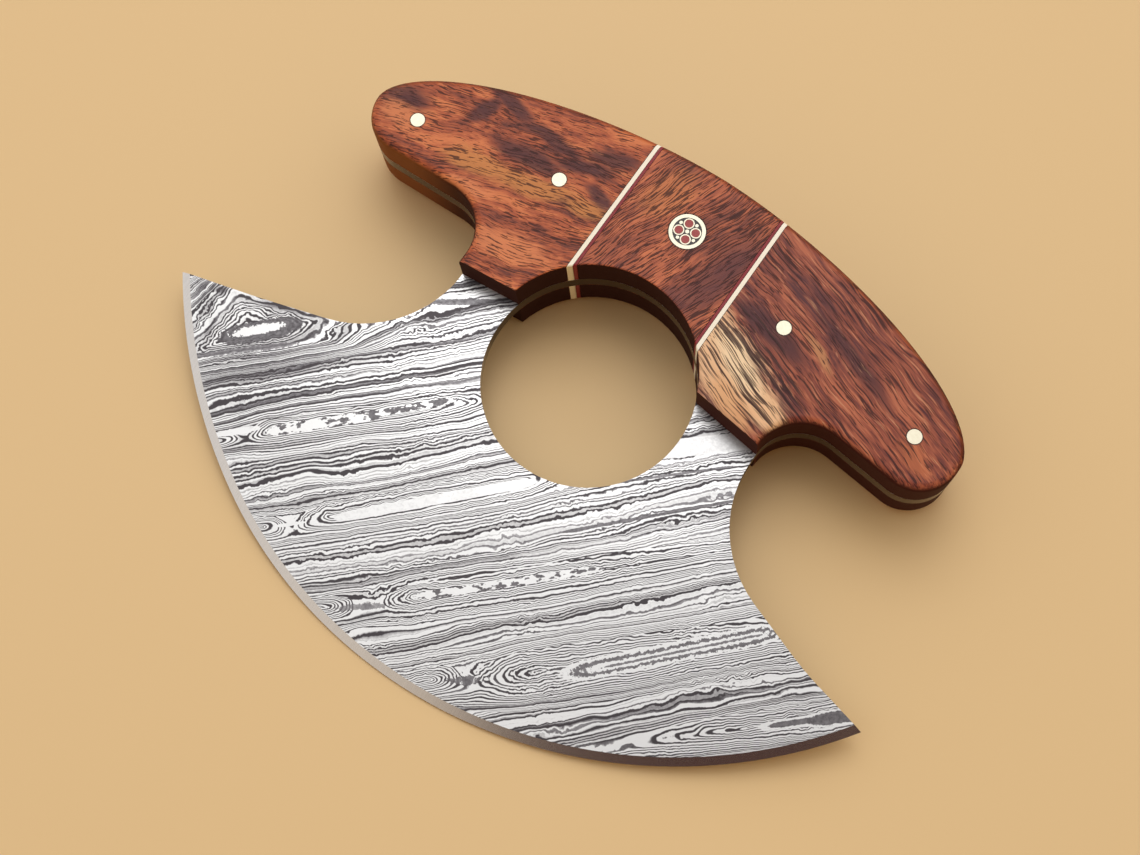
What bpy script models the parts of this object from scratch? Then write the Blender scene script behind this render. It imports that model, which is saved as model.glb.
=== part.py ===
"""An ulu: a crescent blade with a full tang under a riveted wooden handle.

Lengths are in metres.  +X runs along the handle, +Y from the cutting edge
towards the handle's crown and +Z up out of the knife's front face, with the
origin under the middle of its outline.  The blade outweighs the handle, so
the knife lies tipped onto the feet of its back scales and the back of its
bevel.  The pieces are built on a level tang and laid down together.  Heights
given for the outline are measured from the centre of the finger hole.
"""
import math

import bmesh
import bpy
from mathutils import Matrix, Vector

# The blade
BLADE_THICKNESS = 0.0035
LEFT_TIP_SPAN = 0.0898          # from the finger hole's centre to each tip
RIGHT_TIP_SPAN = 0.0876
LEFT_TIP_DEPTH = 0.0298
RIGHT_TIP_DEPTH = 0.0292
EDGE_DEPTH = 0.0754             # and to the lowest point of the cutting edge
EASE_SPAN = 0.0500              # left of which the edge runs flatter
LEFT_SHOULDER_DROP = 0.0150     # where the shoulders, drawn on, would meet the necks
RIGHT_SHOULDER_DROP = 0.0138
LEFT_SHOULDER_SAG = 0.0004      # how far each shoulder bends below a straight line
RIGHT_SHOULDER_SAG = 0.0014
SHOULDER_BEND_SHARE = 0.33      # and how far along it from the tip
SHOULDER_RADIUS = 0.0600
BAY_RADIUS = 0.0260             # hollow between a shoulder and its neck
GRIND_WIDTH = 0.0400            # flat grind behind the bevel, on both faces
BEVEL_WIDTH = 0.0018
BEVEL_THICKNESS = 0.0012        # steel left behind the bevel
EDGE_LAND = 0.0001
FINGER_HOLE_RADIUS = 0.0234

# The handle's outline, shared by the tang and the scales
HANDLE_HALF_LENGTH = 0.0750
CROWN_HEIGHT = 0.0522
CROWN_POWER = 1.75              # 2 would make the crown a half ellipse
LEFT_NECK = 0.0370              # hole's centre to the outside of each neck
RIGHT_NECK = 0.0384
LEFT_UNDERSIDE_ROOT = 0.0181    # height of each lobe's underside at its neck
RIGHT_UNDERSIDE_ROOT = 0.0188
LEFT_UNDERSIDE_END = 0.0172     # and at the handle's end
RIGHT_UNDERSIDE_END = 0.0146
HOLLOW_RADIUS = 0.0110          # between a neck and its lobe's underside
LOBE_RADIUS = 0.0090            # round lower corner of each lobe

# The scales
SCALE_THICKNESS = 0.0085
EDGE_ROUNDING = 0.0017
HOLE_ROUNDING = 0.0004
LEFT_FOOT_OUTER = 0.0046        # height of each scale's foot, at the neck
RIGHT_FOOT_OUTER = 0.0067
LEFT_FOOT_INNER = 0.0058        # and at the finger hole
RIGHT_FOOT_INNER = 0.0090
CENTRE_HALF_WIDTH = 0.0151
LINER_THICKNESS = 0.0006
STRIP_THICKNESS = 0.0009
GLUE_LINE = 0.0001

# The pins
PIN_RADIUS = 0.0016
PIN_CLEARANCE = 0.00008
OUTER_PIN_INSET = 0.0112        # from each end of the handle
OUTER_PIN_HEIGHT = 0.0261
LEFT_INNER_PIN_INSET = 0.0128   # from the joint with the centre wood
LEFT_INNER_PIN_HEIGHT = 0.0319
RIGHT_INNER_PIN_INSET = 0.0120
RIGHT_INNER_PIN_HEIGHT = 0.0308

# The mosaic pin
MOSAIC_RADIUS = 0.0040
MOSAIC_HEIGHT = 0.0374
MOSAIC_WALL = 0.0008
TUBE_RADIUS = 0.0012
TUBE_WALL = 0.00025
TUBE_RING_RADIUS = 0.00185
ROD_RADIUS = 0.00038
ROD_RING_RADIUS = 0.00245
CENTRE_ROD_RADIUS = 0.00045
MOSAIC_FIT = 0.00003
MOSAIC_COUNT = 4
MOSAIC_TURN = math.radians(21)

# How finely curves are drawn
ARC_STEP = math.radians(6)
EDGE_STEP = math.radians(1.5)
CROWN_STEPS = 60
HOLE_STEPS = 72
ROUNDING_STEPS = 4
PIN_STEPS = 24
MOSAIC_STEPS = 40
TUBE_STEPS = 20
ROD_STEPS = 12
OVERRUN = 0.0050                # how far a cut runs past what it cuts

# Heights of the layers over the back scales' flat faces
TANG_BOTTOM = SCALE_THICKNESS + GLUE_LINE
TANG_TOP = TANG_BOTTOM + BLADE_THICKNESS
FRONT_BOTTOM = TANG_TOP + GLUE_LINE
HANDLE_THICKNESS = FRONT_BOTTOM + SCALE_THICKNESS
TANG_MIDDLE = (TANG_BOTTOM + TANG_TOP) / 2
HOLE_CENTRE = Vector((0, (EDGE_DEPTH - CROWN_HEIGHT) / 2, 0))

# Where the scales are jointed, as distances from the middle of the handle
LINER_FROM = CENTRE_HALF_WIDTH + GLUE_LINE
LINER_TO = LINER_FROM + LINER_THICKNESS
STRIP_FROM = LINER_TO + GLUE_LINE
STRIP_TO = STRIP_FROM + STRIP_THICKNESS
OUTER_FROM = STRIP_TO + GLUE_LINE

LEFT_TIP = Vector((-LEFT_TIP_SPAN, -LEFT_TIP_DEPTH))
RIGHT_TIP = Vector((RIGHT_TIP_SPAN, -RIGHT_TIP_DEPTH))
LEFT_CORNER = Vector((-LEFT_NECK, -LEFT_SHOULDER_DROP))
RIGHT_CORNER = Vector((RIGHT_NECK, -RIGHT_SHOULDER_DROP))

# The cutting edge is a circular sweep through the right tip and the lowest point
EDGE_SAG = EDGE_DEPTH - RIGHT_TIP_DEPTH
EDGE_RADIUS = (RIGHT_TIP_SPAN ** 2 + EDGE_SAG ** 2) / (2 * EDGE_SAG)
EDGE_CENTRE = Vector((0, EDGE_RADIUS - EDGE_DEPTH))

# and where it eases, a wider sweep takes over without a kink and ends at the left tip
EASE_OUT = Vector((-EASE_SPAN, -math.sqrt(EDGE_RADIUS ** 2 - EASE_SPAN ** 2))) / EDGE_RADIUS
EASE_POINT = EDGE_CENTRE + EASE_OUT * EDGE_RADIUS
EASED_CHORD = LEFT_TIP - EASE_POINT
EASED_RADIUS = EASED_CHORD.length_squared / (-2 * EASE_OUT.dot(EASED_CHORD))
EASED_CENTRE = EASE_POINT - EASE_OUT * EASED_RADIUS


def clear_scene():
    for old in list(bpy.data.objects):
        bpy.data.objects.remove(old, do_unlink=True)


# Outlines

def arc(centre, radius, start, end, steps):
    """Points on a circle from angle start to angle end, both ends included."""
    turn = (end - start) / steps
    return [centre + Vector((math.cos(start + turn * i), math.sin(start + turn * i))) * radius
            for i in range(steps + 1)]


def rounded_corner(before, corner, after, radius):
    """The arc that rounds a corner between two straight runs."""
    into = (before - corner).normalized()
    out = (after - corner).normalized()
    half_angle = into.angle(out) / 2
    centre = corner + (into + out).normalized() * (radius / math.sin(half_angle))
    reach = radius / math.tan(half_angle)
    first = corner + into * reach - centre
    last = corner + out * reach - centre
    turn = first.angle_signed(last)
    steps = max(2, math.ceil(abs(turn) / ARC_STEP))
    start = math.atan2(first.y, first.x)
    return arc(centre, radius, start, start - turn, steps)


def lobe_corners(side, neck, root, end):
    """The two corners of a lobe, before they are rounded, and the point above them."""
    hollow = Vector((side * neck, root))
    heel = Vector((side * HANDLE_HALF_LENGTH, end))
    return hollow, heel, heel + Vector((0, CROWN_HEIGHT))


def lobe_contour(side, neck, root, end):
    """Outline of one lobe, from its neck round to its end."""
    hollow, heel, above = lobe_corners(side, neck, root, end)
    return (rounded_corner(Vector((side * neck, 0)), hollow, heel, HOLLOW_RADIUS)
            + rounded_corner(hollow, heel, above, LOBE_RADIUS))


def crown_spring():
    """Height at which the crown springs from both ends, clear of the round corners."""
    right = lobe_contour(1, RIGHT_NECK, RIGHT_UNDERSIDE_ROOT, RIGHT_UNDERSIDE_END)
    left = lobe_contour(-1, LEFT_NECK, LEFT_UNDERSIDE_ROOT, LEFT_UNDERSIDE_END)
    return max(right[-1].y, left[-1].y)


def crown():
    """The handle's back, a flattened half ellipse, from right to left."""
    spring = crown_spring()
    rise = CROWN_HEIGHT - spring
    points = []
    for i in range(CROWN_STEPS + 1):
        angle = math.pi * i / CROWN_STEPS
        along, up = math.cos(angle), max(math.sin(angle), 0)
        points.append(Vector((
            math.copysign(abs(along) ** (2 / CROWN_POWER), along) * HANDLE_HALF_LENGTH,
            spring + up ** (2 / CROWN_POWER) * rise)))
    return points


def handle_contour():
    """Outline of the handle from the right neck over the crown to the left neck."""
    right = lobe_contour(1, RIGHT_NECK, RIGHT_UNDERSIDE_ROOT, RIGHT_UNDERSIDE_END)
    left = lobe_contour(-1, LEFT_NECK, LEFT_UNDERSIDE_ROOT, LEFT_UNDERSIDE_END)
    return right + crown() + left[::-1]


def bay(tip, corner, sag, root):
    """From a rough tip, past the point that the edge will cut, along the shoulder to its neck."""
    bend = tip.lerp(corner, SHOULDER_BEND_SHARE) - Vector((0, sag))
    rough_tip = tip + (tip - bend).normalized() * OVERRUN
    above = Vector((corner.x, root))
    return ([rough_tip] + rounded_corner(rough_tip, bend, corner, SHOULDER_RADIUS)
            + rounded_corner(bend, corner, above, BAY_RADIUS))


def angle_from(centre, point):
    return math.atan2(point.y - centre.y, point.x - centre.x)


def edge_sweeps():
    """Centre, radius, first and last angle of the edge's two sweeps, from left to right."""
    ease = angle_from(EDGE_CENTRE, EASE_POINT)
    return [
        (EASED_CENTRE, EASED_RADIUS, angle_from(EASED_CENTRE, LEFT_TIP), ease),
        (EDGE_CENTRE, EDGE_RADIUS, ease, angle_from(EDGE_CENTRE, RIGHT_TIP)),
    ]


def rough_edge():
    """The blade before its edge is cut, from the left tip to the right tip."""
    points = []
    for centre, radius, start, end in edge_sweeps():
        points += arc(centre, radius + OVERRUN, start, end, math.ceil((end - start) / EDGE_STEP))
    return points


def blade_outline():
    return (bay(RIGHT_TIP, RIGHT_CORNER, RIGHT_SHOULDER_SAG, RIGHT_UNDERSIDE_ROOT) + handle_contour()
            + bay(LEFT_TIP, LEFT_CORNER, LEFT_SHOULDER_SAG, LEFT_UNDERSIDE_ROOT)[::-1] + rough_edge())


def foot(side, neck, outer, inner):
    """Foot of a scale, from the neck to the rim of the finger hole."""
    across = math.sqrt(FINGER_HOLE_RADIUS ** 2 - inner ** 2)
    return [Vector((side * neck, outer)), Vector((side * across, inner))]


def hole_arch():
    """Rim of the finger hole over the tang, from the left foot to the right foot."""
    left = math.pi - math.asin(LEFT_FOOT_INNER / FINGER_HOLE_RADIUS)
    right = math.asin(RIGHT_FOOT_INNER / FINGER_HOLE_RADIUS)
    steps = round(HOLE_STEPS * (left - right) / math.tau)
    return arc(Vector((0, 0)), FINGER_HOLE_RADIUS, left, right, steps)


# Solids

def tidy_loop(points):
    """A closed outline without points that repeat the one before."""
    least = EDGE_LAND / 2
    kept = [p for i, p in enumerate(points) if (p - points[i - 1]).length > least]
    return kept


def prism(points, bottom, top):
    """An outline, placed in the part's frame and extruded between two heights."""
    mesh = bmesh.new()
    ring = [mesh.verts.new((p.x, p.y + HOLE_CENTRE.y, bottom)) for p in points]
    face = mesh.faces.new(ring)
    lifted = bmesh.ops.extrude_face_region(mesh, geom=[face])
    raised = [item for item in lifted["geom"] if isinstance(item, bmesh.types.BMVert)]
    bmesh.ops.translate(mesh, verts=raised, vec=Vector((0, 0, top - bottom)))
    bmesh.ops.recalc_face_normals(mesh, faces=mesh.faces)
    return mesh


def cylinder_mesh(radius, bottom, top, steps, bore=0):
    """A round bar, or a tube where a bore is given, standing along Z."""
    mesh = bmesh.new()
    bmesh.ops.create_circle(mesh, cap_ends=not bore, radius=radius, segments=steps)
    if bore:
        bmesh.ops.create_circle(mesh, cap_ends=False, radius=bore, segments=steps)
        bmesh.ops.bridge_loops(mesh, edges=mesh.edges)
    lifted = bmesh.ops.extrude_face_region(mesh, geom=list(mesh.faces))
    raised = [item for item in lifted["geom"] if isinstance(item, bmesh.types.BMVert)]
    bmesh.ops.translate(mesh, verts=raised, vec=Vector((0, 0, top - bottom)))
    bmesh.ops.translate(mesh, verts=mesh.verts, vec=Vector((0, 0, bottom)))
    bmesh.ops.recalc_face_normals(mesh, faces=mesh.faces)
    return mesh


def make_object(name, mesh, place=Vector((0, 0, 0)), turn=0):
    data = bpy.data.meshes.new(name)
    mesh.to_mesh(data)
    mesh.free()
    data.shade_smooth()
    data.set_sharp_from_angle(angle=math.radians(30))
    made = bpy.data.objects.new(name, data)
    made.location = place
    made.rotation_euler.z = turn
    bpy.context.scene.collection.objects.link(made)
    return made


def make_cutter(name, mesh, place=Vector((0, 0, 0)), turn=0):
    made = make_object(name, mesh, place, turn)
    made.hide_render = True
    made.display_type = "WIRE"
    return made


def cut_away(target, cutter):
    cut = target.modifiers.new("cut " + cutter.name, "BOOLEAN")
    cut.operation = "DIFFERENCE"
    cut.solver = "EXACT"
    cut.object = cutter


def paint(target, material):
    target.data.materials.clear()
    target.data.materials.append(material)


def principled(name, colour, roughness, metallic=0):
    material = bpy.data.materials.new(name)
    material.use_nodes = True
    shader = material.node_tree.nodes["Principled BSDF"]
    shader.inputs["Base Color"].default_value = (*colour, 1)
    shader.inputs["Roughness"].default_value = roughness
    shader.inputs["Metallic"].default_value = metallic
    return material


# The blade

def edge_section():
    """Half the section that wraps the edge: distances outwards from it, and heights."""
    surface, behind, land = BLADE_THICKNESS / 2, BEVEL_THICKNESS / 2, EDGE_LAND / 2
    inner = -BEVEL_WIDTH - GRIND_WIDTH - OVERRUN
    grind_rise = (surface - behind) / GRIND_WIDTH * OVERRUN
    return [
        (2 * OVERRUN, surface + OVERRUN),
        (inner, surface + OVERRUN),
        (inner, surface + grind_rise),
        (-BEVEL_WIDTH, behind),
        (0, land),
    ]


def edge_cutter():
    """What the grinds, the bevels and the cutting edge take off the blade.

    The section starts just past the left tip and is spun about the centre of
    each of the edge's sweeps in turn, to just past the right tip, so that it
    stays clear of the handle.
    """
    half = edge_section()
    section = half + [(out, -height) for out, height in reversed(half)]
    past_tip = math.ceil(OVERRUN / (EDGE_RADIUS * EDGE_STEP)) * EDGE_STEP
    (_, _, left_end, ease), (_, _, _, right_end) = edge_sweeps()
    start = left_end - past_tip
    outwards = Vector((math.cos(start), math.sin(start)))
    mesh = bmesh.new()
    places = [(EASED_CENTRE + outwards * (EASED_RADIUS + out), height) for out, height in section]
    profile = mesh.faces.new([mesh.verts.new((*place, height)) for place, height in places])
    moving = [profile, *profile.edges, *profile.verts]
    for centre, angle in ((EASED_CENTRE, ease - start), (EDGE_CENTRE, right_end + past_tip - ease)):
        spun = bmesh.ops.spin(mesh, geom=moving, cent=(*centre, 0), axis=(0, 0, 1), angle=angle,
                              steps=math.ceil(angle / EDGE_STEP))
        moving = spun["geom_last"]
    bmesh.ops.recalc_face_normals(mesh, faces=mesh.faces)
    return mesh


def make_blade(material):
    blade = make_object("blade", prism(tidy_loop(blade_outline()), TANG_BOTTOM, TANG_TOP))
    cuts = [
        make_cutter("cutter_edge", edge_cutter(), HOLE_CENTRE + Vector((0, 0, TANG_MIDDLE))),
        make_cutter("cutter_finger_hole",
                    cylinder_mesh(FINGER_HOLE_RADIUS, TANG_BOTTOM - OVERRUN, TANG_TOP + OVERRUN, HOLE_STEPS),
                    HOLE_CENTRE),
    ]
    for cutter in cuts:
        cut_away(blade, cutter)
    paint(blade, material)
    return blade


# The scales

def scale_contour():
    """Outline of the scales over their feet, from the right foot to the left foot."""
    def over_foot(point):
        outer = RIGHT_FOOT_OUTER if point.x > 0 else LEFT_FOOT_OUTER
        return point.y > outer + GLUE_LINE

    return [point for point in tidy_loop(handle_contour()) if over_foot(point)]


def scale_body():
    """Both scales start as this: one shaped block, its front edges rounded over."""
    left = foot(-1, LEFT_NECK, LEFT_FOOT_OUTER, LEFT_FOOT_INNER)
    right = foot(1, RIGHT_NECK, RIGHT_FOOT_OUTER, RIGHT_FOOT_INNER)
    outer_run = [right[0], *scale_contour(), left[0]]
    arch = hole_arch()
    mesh = prism([*outer_run, *arch], 0, SCALE_THICKNESS)
    round_over(mesh, outer_run, EDGE_ROUNDING)
    round_over(mesh, arch, HOLE_ROUNDING)
    return mesh


def round_over(mesh, run, radius):
    """Round the top edges that follow a run of outline points."""
    places = [Vector((p.x, p.y + HOLE_CENTRE.y)) for p in run]
    near = GLUE_LINE / 10

    def on_run(vert):
        at = vert.co
        return abs(at.z - SCALE_THICKNESS) < near and any((at.xy - p).length < near for p in places)

    chosen = {vert for vert in mesh.verts if on_run(vert)}
    edges = [edge for edge in mesh.edges if all(vert in chosen for vert in edge.verts)]
    bmesh.ops.bevel(mesh, geom=edges, offset=radius, offset_type="OFFSET", segments=ROUNDING_STEPS,
                    profile=0.5, affect="EDGES", clamp_overlap=False, loop_slide=True)


def slice_off(mesh, at, keep):
    """Cut a solid across at one X, cap it, and keep the side that keep names."""
    everything = [*mesh.verts, *mesh.edges, *mesh.faces]
    cut = bmesh.ops.bisect_plane(mesh, geom=everything, plane_co=(at, 0, 0), plane_no=(-keep, 0, 0),
                                 dist=GLUE_LINE / 1000, clear_outer=True)
    rim = [item for item in cut["geom_cut"] if isinstance(item, bmesh.types.BMEdge)]
    bmesh.ops.edgeloop_fill(mesh, edges=rim)


def scale_piece(body, low, high):
    mesh = body.copy()
    if low is not None:
        slice_off(mesh, low, 1)
    if high is not None:
        slice_off(mesh, high, -1)
    bmesh.ops.recalc_face_normals(mesh, faces=mesh.faces)
    return mesh


def scale_pieces():
    """Name, limits along X and material of each piece of a scale, left to right."""
    return [
        ("scale_left", None, -OUTER_FROM, "rosewood"),
        ("strip_left", -STRIP_TO, -STRIP_FROM, "bone"),
        ("liner_left", -LINER_TO, -LINER_FROM, "red liner"),
        ("scale_centre", -CENTRE_HALF_WIDTH, CENTRE_HALF_WIDTH, "red hardwood"),
        ("liner_right", LINER_FROM, LINER_TO, "red liner"),
        ("strip_right", STRIP_FROM, STRIP_TO, "bone"),
        ("scale_right", OUTER_FROM, None, "striped hardwood"),
    ]


def make_scales(materials):
    """The front scale, and the back scale as its mirror image under the tang."""
    made = {}
    for face in ("front", "back"):
        body = scale_body()
        if face == "front":
            bmesh.ops.translate(body, verts=body.verts, vec=Vector((0, 0, FRONT_BOTTOM)))
        else:
            bmesh.ops.scale(body, verts=body.verts, vec=Vector((1, 1, -1)))
            bmesh.ops.translate(body, verts=body.verts, vec=Vector((0, 0, SCALE_THICKNESS)))
            bmesh.ops.reverse_faces(body, faces=body.faces)
        for name, low, high, material in scale_pieces():
            piece = make_object(face + "_" + name, scale_piece(body, low, high))
            paint(piece, materials[material])
            made[piece.name] = piece
        body.free()
    return made


# The pins

def pin_places():
    outer = HANDLE_HALF_LENGTH - OUTER_PIN_INSET
    inner_left = OUTER_FROM + LEFT_INNER_PIN_INSET
    inner_right = OUTER_FROM + RIGHT_INNER_PIN_INSET
    return {
        "pin_outer_left": Vector((-outer, OUTER_PIN_HEIGHT, 0)),
        "pin_inner_left": Vector((-inner_left, LEFT_INNER_PIN_HEIGHT, 0)),
        "pin_inner_right": Vector((inner_right, RIGHT_INNER_PIN_HEIGHT, 0)),
        "pin_outer_right": Vector((outer, OUTER_PIN_HEIGHT, 0)),
    }


def drill(name, place, radius, steps, targets, turn=0):
    """One straight hole through every piece that a pin passes."""
    mesh = cylinder_mesh(radius, -OVERRUN, HANDLE_THICKNESS + OVERRUN, steps)
    cutter = make_cutter("cutter_" + name, mesh, place, turn)
    for target in targets:
        cut_away(target, cutter)


def make_pins(blade, scales, material):
    for name, offset in pin_places().items():
        place = HOLE_CENTRE + offset
        pin = make_object(name, cylinder_mesh(PIN_RADIUS, 0, HANDLE_THICKNESS, PIN_STEPS), place)
        paint(pin, material)
        side = name.rsplit("_", 1)[1]
        targets = [blade, scales["front_scale_" + side], scales["back_scale_" + side]]
        drill(name, place, PIN_RADIUS + PIN_CLEARANCE, PIN_STEPS, targets)


def make_bar(name, radius, steps, place, turn, material, bore=0):
    bar = make_object(name, cylinder_mesh(radius, 0, HANDLE_THICKNESS, steps, bore), place, turn)
    paint(bar, material)
    return bar


def make_mosaic_pin(blade, scales, materials):
    """A tube packed with four red-filled tubes and five rods, set in black resin."""
    place = HOLE_CENTRE + Vector((0, MOSAIC_HEIGHT, 0))
    brass = materials["brass"]
    sleeve_bore = MOSAIC_RADIUS - MOSAIC_WALL
    resin = make_bar("mosaic_resin", sleeve_bore - MOSAIC_FIT, MOSAIC_STEPS, place, 0,
                     materials["black resin"])
    make_bar("mosaic_sleeve", MOSAIC_RADIUS, MOSAIC_STEPS, place, 0, brass, sleeve_bore)
    for i in range(MOSAIC_COUNT):
        number = str(i + 1)
        turn = MOSAIC_TURN + math.tau * i / MOSAIC_COUNT
        rod_turn = turn + math.pi / MOSAIC_COUNT
        out = Vector((math.cos(turn), math.sin(turn), 0)) * TUBE_RING_RADIUS
        rod_out = Vector((math.cos(rod_turn), math.sin(rod_turn), 0)) * ROD_RING_RADIUS
        bore = TUBE_RADIUS - TUBE_WALL
        make_bar("mosaic_tube_" + number, TUBE_RADIUS, TUBE_STEPS, place + out, turn, brass, bore)
        make_bar("mosaic_core_" + number, bore - MOSAIC_FIT, TUBE_STEPS, place + out, turn,
                 materials["red resin"])
        make_bar("mosaic_rod_" + number, ROD_RADIUS, ROD_STEPS, place + rod_out, rod_turn, brass)
        drill("tube_" + number, place + out, TUBE_RADIUS + MOSAIC_FIT, TUBE_STEPS, [resin], turn)
        drill("rod_" + number, place + rod_out, ROD_RADIUS + MOSAIC_FIT, ROD_STEPS, [resin], rod_turn)
    make_bar("mosaic_centre_rod", CENTRE_ROD_RADIUS, ROD_STEPS, place, MOSAIC_TURN, brass)
    drill("centre_rod", place, CENTRE_ROD_RADIUS + MOSAIC_FIT, ROD_STEPS, [resin], MOSAIC_TURN)
    targets = [blade, scales["front_scale_centre"], scales["back_scale_centre"]]
    drill("mosaic", place, MOSAIC_RADIUS + PIN_CLEARANCE, MOSAIC_STEPS, targets)


def make_materials():
    return {
        "damascus steel": principled("damascus steel", (0.38, 0.37, 0.37), 0.38, 1),
        "rosewood": principled("rosewood", (0.33, 0.12, 0.06), 0.3),
        "red hardwood": principled("red hardwood", (0.28, 0.09, 0.05), 0.3),
        "striped hardwood": principled("striped hardwood", (0.27, 0.10, 0.07), 0.3),
        "bone": principled("bone", (0.85, 0.78, 0.66), 0.45),
        "red liner": principled("red liner", (0.28, 0.04, 0.05), 0.5),
        "brass": principled("brass", (0.85, 0.76, 0.50), 0.25, 1),
        "red resin": principled("red resin", (0.36, 0.03, 0.03), 0.3),
        "black resin": principled("black resin", (0.02, 0.02, 0.02), 0.3),
    }


def lay_down(knife):
    """Tip the knife until the back of its bevel and its lower foot touch one level."""
    foot_y = HOLE_CENTRE.y + min(LEFT_FOOT_OUTER, RIGHT_FOOT_OUTER)
    edge_y = HOLE_CENTRE.y - EDGE_DEPTH
    crown_y = HOLE_CENTRE.y + CROWN_HEIGHT
    heel_height = TANG_MIDDLE - BEVEL_THICKNESS / 2
    tilt = math.atan2(heel_height, foot_y - edge_y - BEVEL_WIDTH)
    sine, cosine = math.sin(tilt), math.cos(tilt)
    lowest = edge_y * cosine - TANG_MIDDLE * sine
    highest = (crown_y - EDGE_ROUNDING) * cosine + EDGE_ROUNDING * (1 - sine)
    knife.rotation_euler.x = tilt
    knife.location = ((LEFT_TIP_SPAN - RIGHT_TIP_SPAN) / 2, -(lowest + highest) / 2, -foot_y * sine)


def main():
    clear_scene()
    materials = make_materials()
    blade = make_blade(materials["damascus steel"])
    scales = make_scales(materials)
    make_pins(blade, scales, materials["brass"])
    make_mosaic_pin(blade, scales, materials)
    knife = bpy.data.objects.new("knife", None)
    lay_down(knife)
    for piece in list(bpy.data.objects):
        if piece != knife:
            piece.parent = knife
    bpy.context.scene.collection.objects.link(knife)


main()
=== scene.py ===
"""Materials, light and camera for the ulu knife.

Patterns are laid out in the knife's own millimetres: x runs along the handle,
y from the cutting edge to the crown and z out of the front face, measured from
the centre of the finger hole at the front of the tang.
"""
import math
from collections import namedtuple

import bpy
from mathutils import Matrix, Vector

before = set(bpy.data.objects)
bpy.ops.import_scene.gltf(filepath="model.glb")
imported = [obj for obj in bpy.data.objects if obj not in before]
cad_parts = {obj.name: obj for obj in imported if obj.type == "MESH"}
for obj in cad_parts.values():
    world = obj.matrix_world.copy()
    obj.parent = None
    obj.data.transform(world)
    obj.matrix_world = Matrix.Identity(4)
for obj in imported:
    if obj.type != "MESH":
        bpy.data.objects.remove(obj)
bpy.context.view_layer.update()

MM = 0.001

# How the knife lies
REST_TILT = math.radians(7.107)
HOLE_PLACE = Vector((1.1, 10.753, 11.438)) * MM

# The view
CAMERA_PLACE = Vector((68.006, -102.699, 329.049)) * MM
CAMERA_TURN = Vector((20.7968, -1.2242, 35.2284))   # in degrees about x, y and z
CAMERA_LENS = 50.526        # in millimetres, as the sensor's width is
SENSOR_WIDTH = 36

# The lamp
KEY_PLACE = Vector((-290, 390, 960)) * MM
KEY_WIDTH = 700 * MM
KEY_POWER = 2.45

# The sky: bright towards one side, dim and warm elsewhere, with a dark patch.
# FROM and TO are cosines of the angle to the middle of the side or patch.
SKY_TOWARD = Vector((-0.42, 0.38, 0.82)).normalized()
SKY_BRIGHT = (1.0, 0.99, 0.98)
SKY_DIM = (0.66, 0.44, 0.18)
SKY_FROM = 0.05
SKY_TO = 0.70
SHADE_TOWARD = Vector((0.38, -0.45, 0.81)).normalized()
SHADE_COLOUR = (0.060, 0.018, 0.018)
SHADE_FROM = 0.865
SHADE_TO = 0.93
BACKDROP = (0.59, 0.42, 0.235)

# The floor
FLOOR_COLOUR = (0.760, 0.535, 0.270)
FLOOR_ROUGHNESS = 0.6
FLOOR_HALF = 20000 * MM

# Shading of the pieces
BLADE_CREASE = 10           # how sharp an edge has to be, in degrees, to stay an edge
CREASE = 35
WELD_REACH = 0.002 * MM
BUMP_DEPTH = 0.03 * MM
BUMP_STRENGTH = 0.5

# A kind of noise: the sizes of its cells in millimetres, how many finer noises
# lie on top of it, how strong those are and how far it is distorted
Noise = namedtuple("Noise", "along across depth detail roughness distortion",
                   defaults=(2.0, 0.5, 0.0))
NOISE_MIDDLE = 0.5
BEND_DETAIL = 2.0

# The mix node's sockets for colours, which share their names with others
FIRST_COLOUR, SECOND_COLOUR, MIXED_COLOUR = 6, 7, 2


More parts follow.
